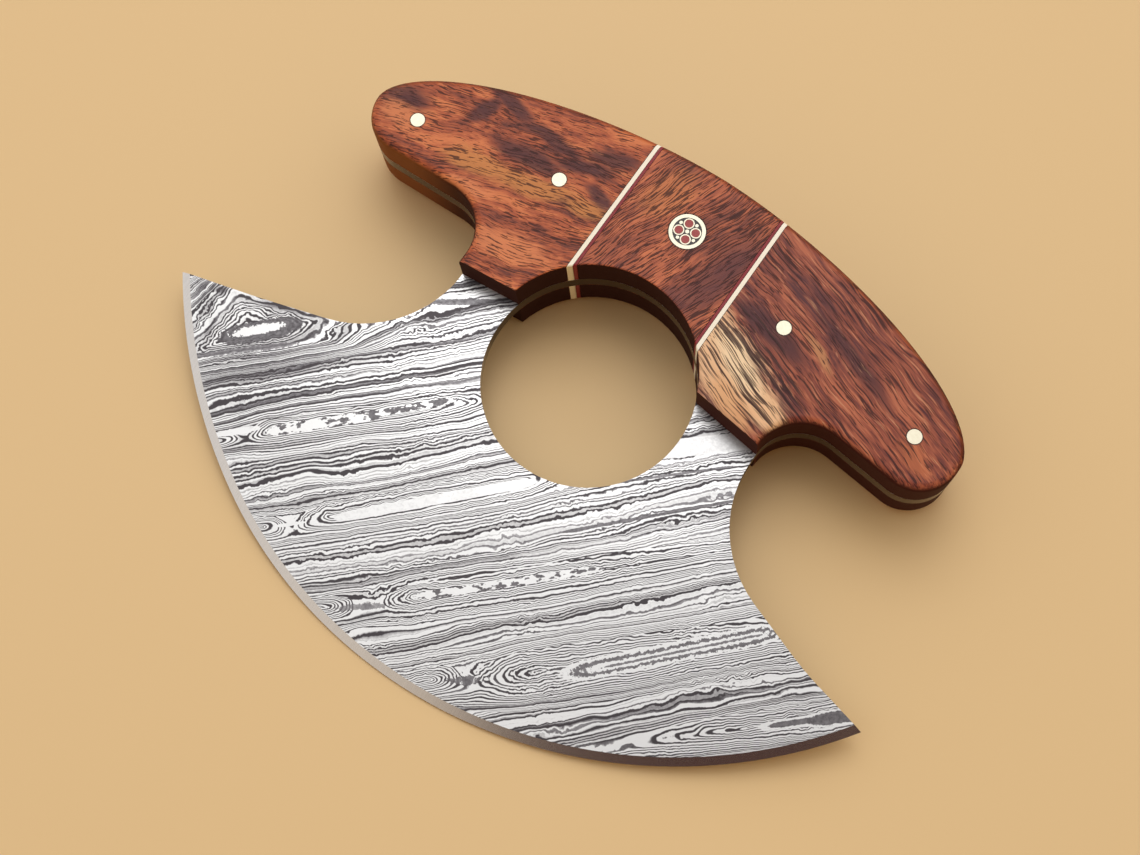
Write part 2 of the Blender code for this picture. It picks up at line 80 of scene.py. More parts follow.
class Nodes:
    """Short calls that add nodes to one tree and link them."""

    def __init__(self, tree):
        self.tree = tree

    def add(self, kind, inputs=(), **settings):
        node = self.tree.nodes.new(kind)
        for name, value in settings.items():
            setattr(node, name, value)
        for name, value in dict(inputs).items():
            self.feed(node.inputs[name], value)
        return node

    def feed(self, socket, value):
        """Link a socket to another one, or set its number, vector or colour."""
        if isinstance(value, bpy.types.NodeSocket):
            self.tree.links.new(value, socket)
        elif isinstance(value, tuple) and socket.type == "RGBA":
            socket.default_value = (*value, 1)
        else:
            socket.default_value = value

    def math(self, operation, *values):
        return self.add("ShaderNodeMath", enumerate(values), operation=operation).outputs[0]

    def plus(self, *values):
        total = values[0]
        for value in values[1:]:
            total = self.math("ADD", total, value)
        return total

    def minus(self, first, second):
        return self.math("SUBTRACT", first, second)

    def times(self, first, second):
        return self.math("MULTIPLY", first, second)

    def most(self, values):
        most = values[0]
        for value in values[1:]:
            most = self.math("MAXIMUM", most, value)
        return most

    def limit(self, value):
        return self.add("ShaderNodeClamp", {"Value": value}).outputs[0]

    def range(self, value, low, high, to_low=0.0, to_high=1.0, smooth=True):
        """A number that goes from to_low to to_high as value goes from low to high."""
        style = "SMOOTHSTEP" if smooth else "LINEAR"
        inputs = {"Value": value, "From Min": low, "From Max": high,
                  "To Min": to_low, "To Max": to_high}
        return self.add("ShaderNodeMapRange", inputs, interpolation_type=style).outputs[0]

    def blend(self, amount, first, second):
        """A number that goes from first to second as amount goes from 0 to 1."""
        return self.math("MULTIPLY_ADD", self.minus(second, first), amount, first)

    def vector(self, operation, *values):
        node = self.add("ShaderNodeVectorMath", enumerate(values), operation=operation)
        return node.outputs["Value" if operation in ("LENGTH", "DOT_PRODUCT") else "Vector"]

    def split(self, place):
        return self.add("ShaderNodeSeparateXYZ", {"Vector": place}).outputs

    def joined(self, x, y, z):
        return self.add("ShaderNodeCombineXYZ", {"X": x, "Y": y, "Z": z}).outputs[0]

    def turned(self, place, degrees, centre=(0, 0, 0)):
        """Coordinates whose first axis points along degrees from x, about a centre."""
        moved = self.vector("SUBTRACT", place, centre)
        inputs = {"Vector": moved, "Angle": -math.radians(degrees)}
        return self.add("ShaderNodeVectorRotate", inputs, rotation_type="Z_AXIS").outputs[0]

    def noise(self, place, kind, stretch=1.0):
        """Noise of one kind, with its cells stretched along the first axis."""
        cells = (1 / (kind.along * stretch), 1 / kind.across, 1 / kind.depth)
        inputs = {"Vector": self.vector("MULTIPLY", place, cells), "Scale": 1.0,
                  "Detail": kind.detail, "Roughness": kind.roughness,
                  "Distortion": kind.distortion}
        return self.add("ShaderNodeTexNoise", inputs).outputs["Fac"]

    def layer_noise(self, height, size, seed, detail=0.0):
        """Noise that changes along one number only, in layers of about this size."""
        where = self.math("MULTIPLY_ADD", height, 1 / size, seed)
        inputs = {"W": where, "Scale": 1.0, "Detail": detail}
        return self.add("ShaderNodeTexNoise", inputs, noise_dimensions="1D").outputs["Fac"]

    def centred(self, noise):
        """The noise moved to lie about 0."""
        return self.minus(noise, NOISE_MIDDLE)

    def warped(self, place, size, reach, detail=BEND_DETAIL):
        """Coordinates pushed about by noise of this size, by up to about reach."""
        cells = self.vector("MULTIPLY", place, (1 / size,) * 3)
        inputs = {"Vector": cells, "Scale": 1.0, "Detail": detail}
        cloud = self.add("ShaderNodeTexNoise", inputs).outputs["Color"]
        push = self.vector("SUBTRACT", cloud, (NOISE_MIDDLE,) * 3)
        return self.vector("MULTIPLY_ADD", push, (reach / NOISE_MIDDLE,) * 3, place)

    def mix(self, amount, first, second, blend="MIX"):
        """A colour that goes from first to second as amount goes from 0 to 1."""
        node = self.add("ShaderNodeMix", data_type="RGBA", blend_type=blend)
        self.feed(node.inputs["Factor"], amount)
        self.feed(node.inputs[FIRST_COLOUR], first)
        self.feed(node.inputs[SECOND_COLOUR], second)
        return node.outputs[MIXED_COLOUR]

    def ramp(self, value, stops):
        """A colour that runs through stops, each a number and the colour at it."""
        node = self.add("ShaderNodeValToRGB", {"Fac": value})
        points = node.color_ramp.elements
        for place, _ in stops[len(points):]:
            points.new(place)
        for point, (place, colour) in zip(points, stops):
            point.position = place
            point.color = (*colour, 1)
        return node.outputs["Color"]

    def knife_place(self):
        """Where a point lies on the knife, in the knife's own millimetres."""
        here = self.add("ShaderNodeTexCoord").outputs["Object"]
        inputs = {"Vector": here, "Location": HOLE_PLACE, "Rotation": (REST_TILT, 0, 0),
                  "Scale": (MM, MM, MM)}
        return self.add("ShaderNodeMapping", inputs, vector_type="TEXTURE").outputs[0]

    def facings(self):
        """How far a point faces up or down, to 1, and the crown, from -1 to 1."""
        facing = self.add("ShaderNodeTexCoord").outputs["Normal"]
        sine, cosine = math.sin(REST_TILT), math.cos(REST_TILT)
        up = self.math("ABSOLUTE", self.vector("DOT_PRODUCT", facing, (0, -sine, cosine)))
        return up, self.vector("DOT_PRODUCT", facing, (0, cosine, sine))

    def bar(self, place, start, end, half_width, nose, tail):
        """How far off a long bar a point is, and how far to its side.

        The first is 0 along the middle of the bar and 1 at its rim, with ends
        that taper over the lengths nose and tail.
        """
        run = Vector(end) - Vector(start)
        local = self.turned(place, math.degrees(math.atan2(run.y, run.x)), (*start, 0))
        along, aside, _ = self.split(local)
        before = self.math("MULTIPLY_ADD", along, -1 / nose, 1.0)
        after = self.math("MULTIPLY_ADD", along, 1 / tail, 1 - run.length / tail)
        past = self.most([before, after, 0.0])
        off = self.joined(past, self.times(aside, 1 / half_width), 0.0)
        return self.vector("LENGTH", off), aside

    def patch(self, place, x, y, degrees, half_length, half_width):
        """A soft oval, 1 at its middle and 0 outside."""
        flat = self.turned(place, degrees, (x, y, 0))
        flat = self.vector("MULTIPLY", flat, (1 / half_length, 1 / half_width, 0))
        return self.range(self.vector("LENGTH", flat), 1.0, 0.0)


def new_material(name):
    material = bpy.data.materials.new(name)
    material.use_nodes = True
    return material, material.node_tree.nodes["Principled BSDF"], Nodes(material.node_tree)


def add_bump(nodes, shader, height):
    inputs = {"Height": height, "Distance": BUMP_DEPTH, "Strength": BUMP_STRENGTH}
    nodes.feed(shader.inputs["Normal"], nodes.add("ShaderNodeBump", inputs).outputs[0])


# Patterned steel: its colours

BRIGHT_STEEL = (0.82, 0.815, 0.81)
PALE_STEEL = (0.54, 0.53, 0.53)
GREY_STEEL = (0.25, 0.24, 0.25)
DARK_STEEL = (0.075, 0.067, 0.072)
GROUND_STEEL = (0.71, 0.675, 0.65)
DULL_STEEL = (0.56, 0.53, 0.505)
# Wall colours: a dark one, painted shade, for walls that face away from the crown, and a lighter
# one for those that face it
SHADED_WALL_STEEL = (0.080, 0.047, 0.020)
LIT_WALL_STEEL = (0.52, 0.49, 0.46)
STEEL_STOPS = [(0.08, DARK_STEEL), (0.34, GREY_STEEL), (0.60, PALE_STEEL), (0.84, BRIGHT_STEEL)]

# Its layout

LAYER_TURN = 45.5           # degrees from x to the layers

# Each fold nests the layers into a long hairpin between two points: its half
# width, the lengths of its two ends, the millimetres of layers that it lifts and
# how far layers bend round it, in its half widths
FOLDS = [
    ((-54.2, -51.2), (-13.0, -13.5), 2.8, 6.0, 16.0, 5.2, 2.3),
    ((-76.0, -71.0), (-55.2, -52.4), 1.9, 6.0, 6.0, 4.2, 2.3),
    ((-34.2, -61.2), (8.0, -19.0), 2.9, 9.0, 12.0, 5.4, 2.3),
    ((-52.0, -76.0), (-34.8, -61.8), 2.4, 6.0, 5.5, 5.0, 2.3),
    ((-8.2, -63.8), (60.0, 0.5), 3.0, 8.0, 10.0, 6.0, 2.3),
    ((-32.0, -82.0), (-12.4, -67.4), 2.4, 6.0, 6.0, 5.2, 2.3),
    ((-4.0, -84.0), (14.6, -66.0), 2.8, 6.0, 7.0, 6.0, 2.3),
    ((17.0, -65.8), (78.0, -9.5), 4.6, 13.0, 10.0, 7.0, 1.7),
    ((51.0, -57.8), (98.0, -14.0), 3.1, 24.0, 10.0, 6.5, 1.6),
]
FOLD_EDGE = (1.5, 0.9)      # between which distances, in half widths, a fold begins

# The cornered eye near the left point: its middle, and for each side the way it
# faces in degrees and how far off it is
EYE_PLACE = (-68.0, -31.5)
EYE_SIDES = [(-46.7, 4.3), (110.4, 6.5), (173.0, 8.3), (-15.0, 9.9)]
EYE_CORNER = 0.25           # how round its corners are
EYE_LIFT = 12.0
EYE_RIM = 1.6               # how many times as far out as its sides its rings reach
EYE_SPREAD = 1.44

# Plain bars in the pattern: their ends, half width, raggedness, brightness and strength
BARS = [
    ((-27.5, -55.2), (3.8, -24.0), 1.15, 0.20, 0.84, 0.97),
    ((15.0, -9.3), (40.0, 12.3), 2.1, 0.12, 0.74, 0.97),
    ((9.0, -39.5), (44.0, -9.5), 1.6, 1.2, 0.95, 0.35),
    ((70.0, -40.6), (84.0, -27.4), 1.10, 0.3, 0.95, 0.85),
    ((76.4, -34.8), (90.0, -22.0), 1.75, 0.3, 0.95, 0.85),
    ((71.6, -39.0), (84.0, -27.4), 0.60, 0.3, 0.20, 0.94),
    ((77.4, -33.8), (90.0, -22.0), 1.25, 0.3, 0.20, 0.94),
    ((-73.2, -37.8), (-59.4, -24.0), 2.45, 0.4, 0.18, 0.94),
    ((-71.2, -35.2), (-62.8, -26.8), 1.05, 0.9, 0.92, 0.95),
    ((31.0, -54.8), (64.0, -20.4), 2.15, 0.35, 0.98, 0.95),
    ((32.4, -53.4), (63.0, -21.6), 1.50, 0.55, 0.20, 0.92),
    ((34.6, -51.2), (61.8, -22.8), 0.80, 0.9, 0.95, 0.95),
    ((37.2, -48.6), (61.0, -23.6), 0.24, 1.2, 0.22, 0.85),
    ((-60.4, -55.4), (-52.7, -48.2), 0.75, 0.5, 0.95, 0.9),
    ((-37.5, -64.2), (-32.0, -59.2), 0.40, 0.5, 0.95, 0.9),
    ((-39.5, -5.0), (-26.0, 4.2), 0.75, 0.4, 0.22, 0.90),
    ((-35.0, -14.6), (-26.0, -6.0), 0.30, 0.6, 0.22, 0.75),
    ((-76.0, -44.5), (-57.5, -28.5), 0.60, 1.0, 0.26, 0.8),
    ((17.0, -15.5), (36.0, 2.0), 0.28, 0.4, 0.22, 0.85),
    ((14.0, -30.5), (41.0, -3.4), 0.36, 0.5, 0.20, 0.90),
    ((-16.0, -70.5), (-7.0, -63.5), 0.70, 1.2, 0.28, 0.8),
    ((13.0, -68.8), (18.6, -64.4), 0.90, 1.4, 0.24, 0.9),
]
BAR_EDGE = (1.05, 0.90)     # between which distances, in half widths, a bar begins
BAR_TAPER = 2.5             # length of a thin bar's ends
BAR_TAPER_SHARE = 2.0       # and how much longer they are, in half widths
RAGGED_REACH = 2.0

# Patches where the pattern is darker or lighter: place, turn, half length,
# half width and change.  The three with half widths of 14 mm and more are painted
# light and shade: the two on the left darken that side of the blade as painted
# shade, and the one at (50, -36) lightens its right side as painted light.
PATTERN_AND_LIGHT_PATCHES = [
    (-83.0, -31.0, -50, 7, 4, -0.30),
    (-67.0, -23.6, 19, 13, 2.3, -0.60),
    (-54.0, -22.5, -60, 3.5, 2, -0.15),
    (-60.0, -42.0, 45, 42, 28, -0.17),
    (-77.0, -35.5, -62, 7, 1.6, -0.25),
    (-66.5, -27.5, 40, 4, 1.8, -0.25),
    (-37.0, -10.0, 40, 8, 4, -0.12),
    (-36.0, -5.5, 40, 7, 2.6, -0.28),
    (-62.0, -38.0, 45, 30, 14, -0.12),
    (-79.5, -28.2, 16, 6, 1.8, -0.45),
    (25.5, -58.0, 55, 5, 2.6, -0.22),
    (60.0, -36.0, 42, 17, 4, 0.08),
    (72.0, -47.0, 44, 18, 4, 0.10),
    (50.0, -36.0, 42, 46, 32, 0.06),
    (32.0, -15.0, 42, 14, 3, 0.12),
]

# Where the layers are thin and even: place, turn, half length and half width
CALM = [
    (58.0, -46.0, 44, 38, 17),
    (-48.0, -46.0, 45, 50, 17),
]
CALM_SHARE = 0.45           # how much unevenness is left there

# Blotched cores of bright and dark specks: their ends, half width, the length
# of their ends and the share of them that is dark
BLOTCHES = [
    ((-51.3, -48.5), (-32.0, -30.4), 1.25, 3.5, 0.45),
    ((-36.0, -34.0), (-20.5, -18.6), 0.80, 5.0, 0.505),
    ((-3.8, -59.4), (26.0, -31.4), 0.95, 6.0, 0.43),
]
BLOTCH_EDGE = (1.0, 0.85)
SPECK_EDGE = 0.04
SPECK_TONES = (0.22, 0.95)

# Where the layers curl: place, turn, half length, half width and reach in millimetres
CURLS = [
    (-38.0, -9.0, 40, 9, 4.5, 2.2),
    (-57.0, -34.0, 48, 9, 3.4, 1.2),
    (-84.0, -33.0, -40, 10, 6, 2.0),
    (-66.0, -31.0, 42, 14, 6, 1.5),
    (-10.8, -55.6, 45, 4.5, 2.6, 2.4),
    (17.5, -51.0, 44, 17, 3.6, 1.0),
    (58.5, -36.5, 42, 18, 3.6, 3.2),
    (43.0, -35.0, 42, 16, 1.8, 1.0),
    (25.0, 5.0, 40, 8, 3, 1.0),
]

# How the layers wander, as noises and how far those move the layers.  A bend has
# a size, a reach and a number of finer noises.
STACK_BEND = (26, 1.2, 1.0)
RIM_BEND = (3.0, 0.35, 1.0)
CLIMB = 0.6                 # how far layers climb with depth in the plate
SWELL = Noise(40, 5.5, 30)
SWELL_REACH = 4.5
WAVE = Noise(7, 7, 7, 1.0)
WAVE_REACH = 1.6
WHORL = Noise(3.6, 3.6, 3.6)
WHORL_REACH = 2.2
RIPPLE = Noise(1.7, 1.7, 1.7, 2.0, 0.55)
RIPPLE_GROUPS = Noise(9, 9, 9)
RIPPLE_SPAN = (0.38, 0.64, 0.35, 1.9)
CURL_RIPPLE = 0.6           # how much a curl adds to the ripples

# How thick and how bright the layers are.  Each noise of the height in the stack
# has a size in millimetres, a seed and a number of finer noises, and a span has
# the numbers that the noise runs between and those that they become.
PAIR = 0.90                 # two layers, one dark and one bright, in millimetres
DRIFT = 1.7                 # how much the layers change in thickness
CALM_DRIFT = 0.35
DRIFT_NOISE = (2.6, 31.3)
LINE_SPAN = (0.35, -0.80)
LINE_DEPTH = 0.75
BOLD_NOISE = (1.3, 7.7, 1.0)
BOLD_SPAN = (0.36, 0.60, 0.70, 1.30)
BROAD_NOISE = (2.9, 5.3, 1.0)
BROAD_SPAN = (0.38, 0.62, 0.60, 1.12)
SEAM_NOISE = (1.5, 23.9, 1.0)
SEAM_SPAN = (0.58, 0.63)
SEAM_CHANGE = -0.45
BRIGHT_NOISE = (1.1, 41.7)
BRIGHT_SPAN = (0.57, 0.63)
BRIGHT_CHANGE = 0.35
FOLD_CONTRAST = 0.6         # how far a fold's layers are plain dark and bright

# Grain of the surface
GRIT = Noise(0.8, 0.8, 0.8, 2.0, 0.7)
GRIT_CHANGE = 0.36
SPECKS = Noise(2.4, 1.2, 1.7, 2.0, 0.6)
PITS = Noise(0.6, 0.6, 0.6, 3.0, 0.7)
STEEL_SCRATCHES = Noise(0.25, 3.0, 3.0, 3.0, 0.7)
ETCHED_ROUGHNESS = (0.42, 0.30)     # of the dark and the bright layers
GROUND_ROUGHNESS = 0.26

# As cosines: how far a face has turned from the flat where the bevel and the walls
# begin, and how far it faces the crown where the walls go from plain to dark painted shade
BEVEL_SPAN = (0.990, 0.980)
STEEL_WALL_SPAN = (0.8, 0.6)
STEEL_WALL_SHADE_SPAN = (0.5, 0.1)


def fold_shift(nodes, rim, aside, lift, spread):
    """How far one fold moves the layers, nested inside it and bent round it, and where it is."""
    nested = nodes.range(rim, 0.0, 1.0, lift, 0.0, smooth=False)
    bent = nodes.range(nodes.math("DIVIDE", spread, rim), 1.0, spread, smooth=False)
    return nodes.minus(nested, nodes.times(aside, bent)), nodes.range(rim, *FOLD_EDGE)


def eye_shift(nodes, place):
    """The same for the eye, whose rim has corners."""
    local = nodes.vector("SUBTRACT", place, (*EYE_PLACE, 0))
    _, aside, _ = nodes.split(nodes.turned(local, LAYER_TURN))
    rim = 0.0
    for degrees, reach in EYE_SIDES:
        side = math.radians(degrees)
        way = (math.cos(side) / reach, math.sin(side) / reach, 0)
        rim = nodes.math("SMOOTH_MAX", rim, nodes.vector("DOT_PRODUCT", local, way), EYE_CORNER)
    return fold_shift(nodes, nodes.times(rim, 1 / EYE_RIM), aside, EYE_LIFT, EYE_SPREAD)


def all_folds(nodes, place):
    """How far each fold moves the layers, and where any fold is."""
    loose = nodes.warped(place, *RIM_BEND)
    folds = [eye_shift(nodes, loose)]
    for start, end, half_width, nose, tail, lift, spread in FOLDS:
        rim, aside = nodes.bar(loose, start, end, half_width, nose, tail)
        folds.append(fold_shift(nodes, rim, aside, lift, spread))
    shifts, insides = zip(*folds)
    return shifts, nodes.most(insides)


def steel_layers(nodes, place, calm):
    """The height of each point in the stack of layers, in millimetres, and where folds are."""
    stack = nodes.turned(nodes.warped(place, *STACK_BEND), LAYER_TURN)
    _, across, depth = nodes.split(stack)
    swell = nodes.centred(nodes.noise(stack, SWELL))
    shifts, folded = all_folds(nodes, place)
    curl = nodes.most([nodes.times(nodes.patch(place, *oval), reach) for *oval, reach in CURLS])
    whorl = nodes.centred(nodes.noise(place, WHORL))
    groups = nodes.range(nodes.noise(place, RIPPLE_GROUPS), *RIPPLE_SPAN)
    restless = nodes.plus(nodes.times(groups, nodes.blend(calm, 1.0, CALM_SHARE)),
                          nodes.times(curl, CURL_RIPPLE))
    ripple = nodes.centred(nodes.noise(place, RIPPLE))
    wave = nodes.centred(nodes.noise(place, WAVE))
    height = nodes.plus(across, nodes.times(depth, CLIMB), nodes.times(swell, SWELL_REACH), *shifts,
                        nodes.times(whorl, nodes.times(curl, WHORL_REACH)),
                        nodes.times(wave, WAVE_REACH), nodes.times(ripple, restless))
    return height, folded


def layer_tone(nodes, height, folded, calm):
    """How bright the layers are at a height in the stack."""
    drift = nodes.times(nodes.layer_noise(height, *DRIFT_NOISE),
                        nodes.blend(calm, DRIFT, CALM_DRIFT))
    turn = nodes.math("MULTIPLY_ADD", height, 1 / PAIR, drift)
    lines = nodes.range(nodes.math("SINE", nodes.times(turn, math.tau)), *LINE_SPAN)
    bold = nodes.range(nodes.layer_noise(height, *BOLD_NOISE), *BOLD_SPAN)
    bold = nodes.math("MAXIMUM", bold, folded)
    broad = nodes.range(nodes.layer_noise(height, *BROAD_NOISE), *BROAD_SPAN)
    seams = nodes.range(nodes.layer_noise(height, *SEAM_NOISE), *SEAM_SPAN)
    bright = nodes.range(nodes.layer_noise(height, *BRIGHT_NOISE), *BRIGHT_SPAN)
    tone = nodes.minus(broad, nodes.times(lines, nodes.times(bold, LINE_DEPTH)))
    change = nodes.plus(nodes.times(seams, SEAM_CHANGE), nodes.times(bright, BRIGHT_CHANGE))
    tone = nodes.plus(tone, nodes.times(change, nodes.blend(calm, 1.0, CALM_SHARE)))
    return nodes.blend(nodes.times(folded, FOLD_CONTRAST), tone, nodes.minus(1.0, lines))


def add_blotches(nodes, place, grit, tone):
    """The tone with the blotched cores in it."""
    speck = nodes.noise(nodes.turned(place, LAYER_TURN), SPECKS)
    for start, end, half_width, nose, dark_share in BLOTCHES:
        specks = nodes.range(speck, dark_share, dark_share + SPECK_EDGE, *SPECK_TONES)
        rim, _ = nodes.bar(place, start, end, half_width, nose, nose)
        tone = nodes.blend(nodes.range(nodes.plus(rim, grit), *BLOTCH_EDGE), tone, specks)
    return tone


def add_bars(nodes, place, grit, tone):
    """The tone with the plain bars in it."""
    for start, end, half_width, ragged, brightness, strength in BARS:
        taper = BAR_TAPER + BAR_TAPER_SHARE * half_width
        rim, _ = nodes.bar(place, start, end, half_width, taper, taper)
        rim = nodes.plus(rim, nodes.times(grit, ragged * RAGGED_REACH))
        tone = nodes.blend(nodes.range(rim, *BAR_EDGE, 0.0, strength), tone, brightness)
    return tone


def steel_tone(nodes, place):
    """How bright the etched pattern is, from 0 to 1, with broad patches of painted light and shade
    on it.
    """
    calm = nodes.most([nodes.patch(place, *oval) for oval in CALM])
    tone = layer_tone(nodes, *steel_layers(nodes, place, calm), calm)
    # The broad patches among these are painted shade on the blade's left and painted light on its
    # right.
    for *oval, change in PATTERN_AND_LIGHT_PATCHES:
        tone = nodes.plus(tone, nodes.times(nodes.patch(place, *oval), change))
    grit = nodes.centred(nodes.noise(place, GRIT))
    tone = add_blotches(nodes, place, grit, tone)
    tone = add_bars(nodes, place, grit, tone)
    return nodes.limit(nodes.plus(tone, nodes.times(grit, GRIT_CHANGE)))


def steel_material():
    """Etched pattern on the flat faces, ground bevels, and walls darkened away from the crown as
    painted shade.
    """
    material, shader, nodes = new_material("patterned_steel")
    place = nodes.knife_place()
    tone = steel_tone(nodes, place)
    up, crownward = nodes.facings()
    ground = nodes.range(up, *BEVEL_SPAN)
    scratches = nodes.noise(place, STEEL_SCRATCHES)
    # Walls that face away from the crown are darkened as painted shade.
    wall = nodes.mix(nodes.range(crownward, *STEEL_WALL_SHADE_SPAN), LIT_WALL_STEEL, SHADED_WALL_STEEL)
    bevel = nodes.mix(scratches, GROUND_STEEL, DULL_STEEL)
    bare = nodes.mix(nodes.range(up, *STEEL_WALL_SPAN), bevel, wall)
    colour = nodes.mix(ground, nodes.ramp(tone, STEEL_STOPS), bare)
    nodes.feed(shader.inputs["Base Color"], colour)
    shader.inputs["Metallic"].default_value = 1
    etched = nodes.range(tone, 0.0, 1.0, *ETCHED_ROUGHNESS)
    nodes.feed(shader.inputs["Roughness"], nodes.blend(ground, etched, GROUND_ROUGHNESS))
    pits = nodes.noise(place, PITS)
    add_bump(nodes, shader, nodes.times(pits, nodes.minus(1.0, ground)))
    return material


# Woods: the turn of the grain in degrees, how long its marks are, how far it sways
# in millimetres, the share of soft mottle in its figure, its colours, where pores
# begin, and patches of a tint, a strength and ovals.  One wall colour is a near-black
# painted shade for the walls that face the blade, and the other a lighter painted
# light for those at the left end.
LEFT_WOOD = {
    "turn": 14.0,
    "length": 1.0,
    "sway": 0.5,
    "mottle": 0.45,
    # Painted shade for the walls that face the blade, and painted light for those at the left end
    "painted_wall_shading": (0.034, 0.007, 0.006),
    "lit_far_wall": (0.210, 0.070, 0.019),
    "light": (0.680, 0.208, 0.078),
    "middle": (0.430, 0.102, 0.042),
    "dark": (0.140, 0.037, 0.026),
    "pore": (0.045, 0.014, 0.012),
    "pore_share": 0.565,
    "patches": [
        ((0.085, 0.026, 0.028), 0.90, [(-49, 41, -12, 13, 3.4), (-36, 38.5, -4, 15, 3.0),
                                      (-22, 42.5, 20, 11, 3.0), (-38, 32.0, 6, 15, 4.2),
                                      (-27, 37.0, 26, 13, 3.0), (-69, 29.5, 25, 9, 5.0),
                                      (-53, 36, 62, 10, 3.4), (-20, 33.5, -10, 7, 3.0)]),
        ((0.600, 0.240, 0.070), 0.80, [(-46, 25.0, 8, 15, 4.6), (-34, 27.0, 17, 18, 4.2),
                                      (-21, 29.5, 16, 9, 3.2)]),
        ((0.720, 0.245, 0.100), 0.75, [(-68, 25.5, -10, 9, 4.5), (-46, 19.0, 10, 12, 3.5),
                                      (-30, 13, 16, 14, 6.0)]),
    ],
}
CENTRE_WOOD = {
    "turn": 72.0,
    "length": 1.3,
    "sway": 0.35,
    "mottle": 0.45,
    # Painted shade for the walls that face the blade, at the left end too
    "painted_wall_shading": (0.034, 0.007, 0.006),
    "lit_far_wall": (0.034, 0.007, 0.006),
    "light": (0.640, 0.192, 0.085),
    "middle": (0.420, 0.112, 0.055),
    "dark": (0.180, 0.052, 0.037),
    "pore": (0.035, 0.012, 0.012),
    "pore_share": 0.52,
    "patches": [
        ((0.110, 0.036, 0.040), 0.75, [(12, 32, 80, 22, 7), (9, 25, 60, 10, 6)]),
        ((0.560, 0.190, 0.070), 0.70, [(-8, 43, 72, 12, 8)]),
    ],
}
RIGHT_WOOD = {
    "turn": -20.0,
    "length": 2.4,
    "sway": 0.14,
    "mottle": 0.25,
    # Painted shade for the walls that face the blade, at the left end too
    "painted_wall_shading": (0.045, 0.008, 0.006),
    "lit_far_wall": (0.045, 0.008, 0.006),
    "light": (0.480, 0.144, 0.074),
    "middle": (0.280, 0.074, 0.045),
    "dark": (0.105, 0.032, 0.034),
    "pore": (0.040, 0.014, 0.014),
    "pore_share": 0.57,
    "patches": [
        ((0.080, 0.026, 0.030), 0.85, [(27, 28.5, -14, 16, 4.0), (44, 33, -22, 22, 3.0)]),
        ((0.860, 0.540, 0.310), 0.95, [(22.5, 17.5, -26, 19, 11.5), (17, 24, -30, 9, 6),
                                      (34, 14.5, -22, 14, 6.2)]),
        ((0.960, 0.750, 0.490), 0.75, [(25, 19.5, -26, 13, 5.5)]),
        ((0.560, 0.250, 0.110), 0.80, [(38, 29.5, -24, 9, 1.6)]),
        ((0.760, 0.410, 0.200), 0.80, [(29, 11, -30, 13, 5.0)]),
        ((0.560, 0.170, 0.070), 0.60, [(66, 22, -20, 9, 4)]),
    ],
    "stripes": (27, 20, -24, 23, 13),
}
STAIN = (0.050, 0.018, 0.016)
# The crown's walls are darkened partly as the darker end grain and partly as painted shade.
END_GRAIN_AND_SHADE = (0.44, 0.31, 0.24)      # how much of the colour is left on the crown's walls
# The crown's rounded edge is darkened and warmed as painted shade.
CROWN_EDGE_SHADE = (0.60, 0.42, 0.24)          # and at the crown's rounded edge

# The figure as a sum of noises.  What is left of SOFT_SHARE by the mottle goes to
# the streaks, and the drop brings the middle of the sum back to that of a noise.
BANDS = Noise(30, 4.6, 8.0, 3.0, 0.6)
MOTTLE = Noise(8.0, 3.4, 5.0, 3.0, 0.6)
STREAKS = Noise(10, 0.8, 2.0, 3.0, 0.6)
FIBRES = Noise(2.6, 0.22, 0.5, 2.0, 0.6)
BAND_SHARE = 0.60
SOFT_SHARE = 0.80
FIBRE_SHARE = 0.35
FIGURE_DROP = NOISE_MIDDLE * (1 - BAND_SHARE - SOFT_SHARE - FIBRE_SHARE)
FIGURE_STOPS = (0.36, 0.50, 0.63)   # of the dark, the middle and the light colour

# Its patches, whose rims follow the streaks and fibres
PATCH_STREAKS = 0.9
PATCH_FIBRES = 0.6
PATCH_SPAN = (0.08, 0.80)
STRIPES = Noise(18, 0.55, 3.0, 1.0, 0.5, 0.2)
STRIPE_SPAN = (0.54, 0.61)
STRIPE_COVER = (0.05, 0.4, 0.0, 0.88)

# Bends in the grain: the wide one's size and reach, and the fine one's size
WIDE_BEND = (24, 3.0)
FINE_BEND = 6

# Pores, which crowd in places
DASHES = Noise(3.2, 0.30, 0.6, 1.0)
CROWDS = Noise(16, 7, 7, 1.0)
CROWD_SHARE = 0.22
PORE_EDGE = 0.03
PORE_STRENGTH = 0.82

# Middles of the pins in the front face, and the radii of the stain round them
PINS = [
    ((-63.8, 26.1), 1.95),
    ((-29.7, 31.9), 1.95),
    ((28.9, 30.8), 1.95),
    ((63.8, 26.1), 1.95),
    ((0.0, 37.4), 4.4),
]
STAIN_EDGE = 0.3
STAIN_STRENGTH = 0.85

# As cosines: how far a face has turned from the flat where walls and rounded edges
# begin, and how far it faces the crown where the painted wall shade and the rounded
# edge's painted shade begin.  The lighter far end, painted light, begins at places along x.
WALL_SPAN = (0.90, 0.40)
ROUND_SPAN = (0.995, 0.85)
WALL_SHADING_SPAN = (0.15, -0.30)
CROWN_EDGE_SHADE_SPAN = (-0.02, 0.20)
LIT_FAR_WALL_SPAN = (-43.0, -62.0)

# Polish
FIBRE_GLOSS = 0.4
POLISH_SPAN = (0.0, 1.2, 0.24, 0.42)
WALL_ROUGHNESS = 0.8
WOOD_SPECULAR = 0.16
FIBRE_RELIEF = 0.3


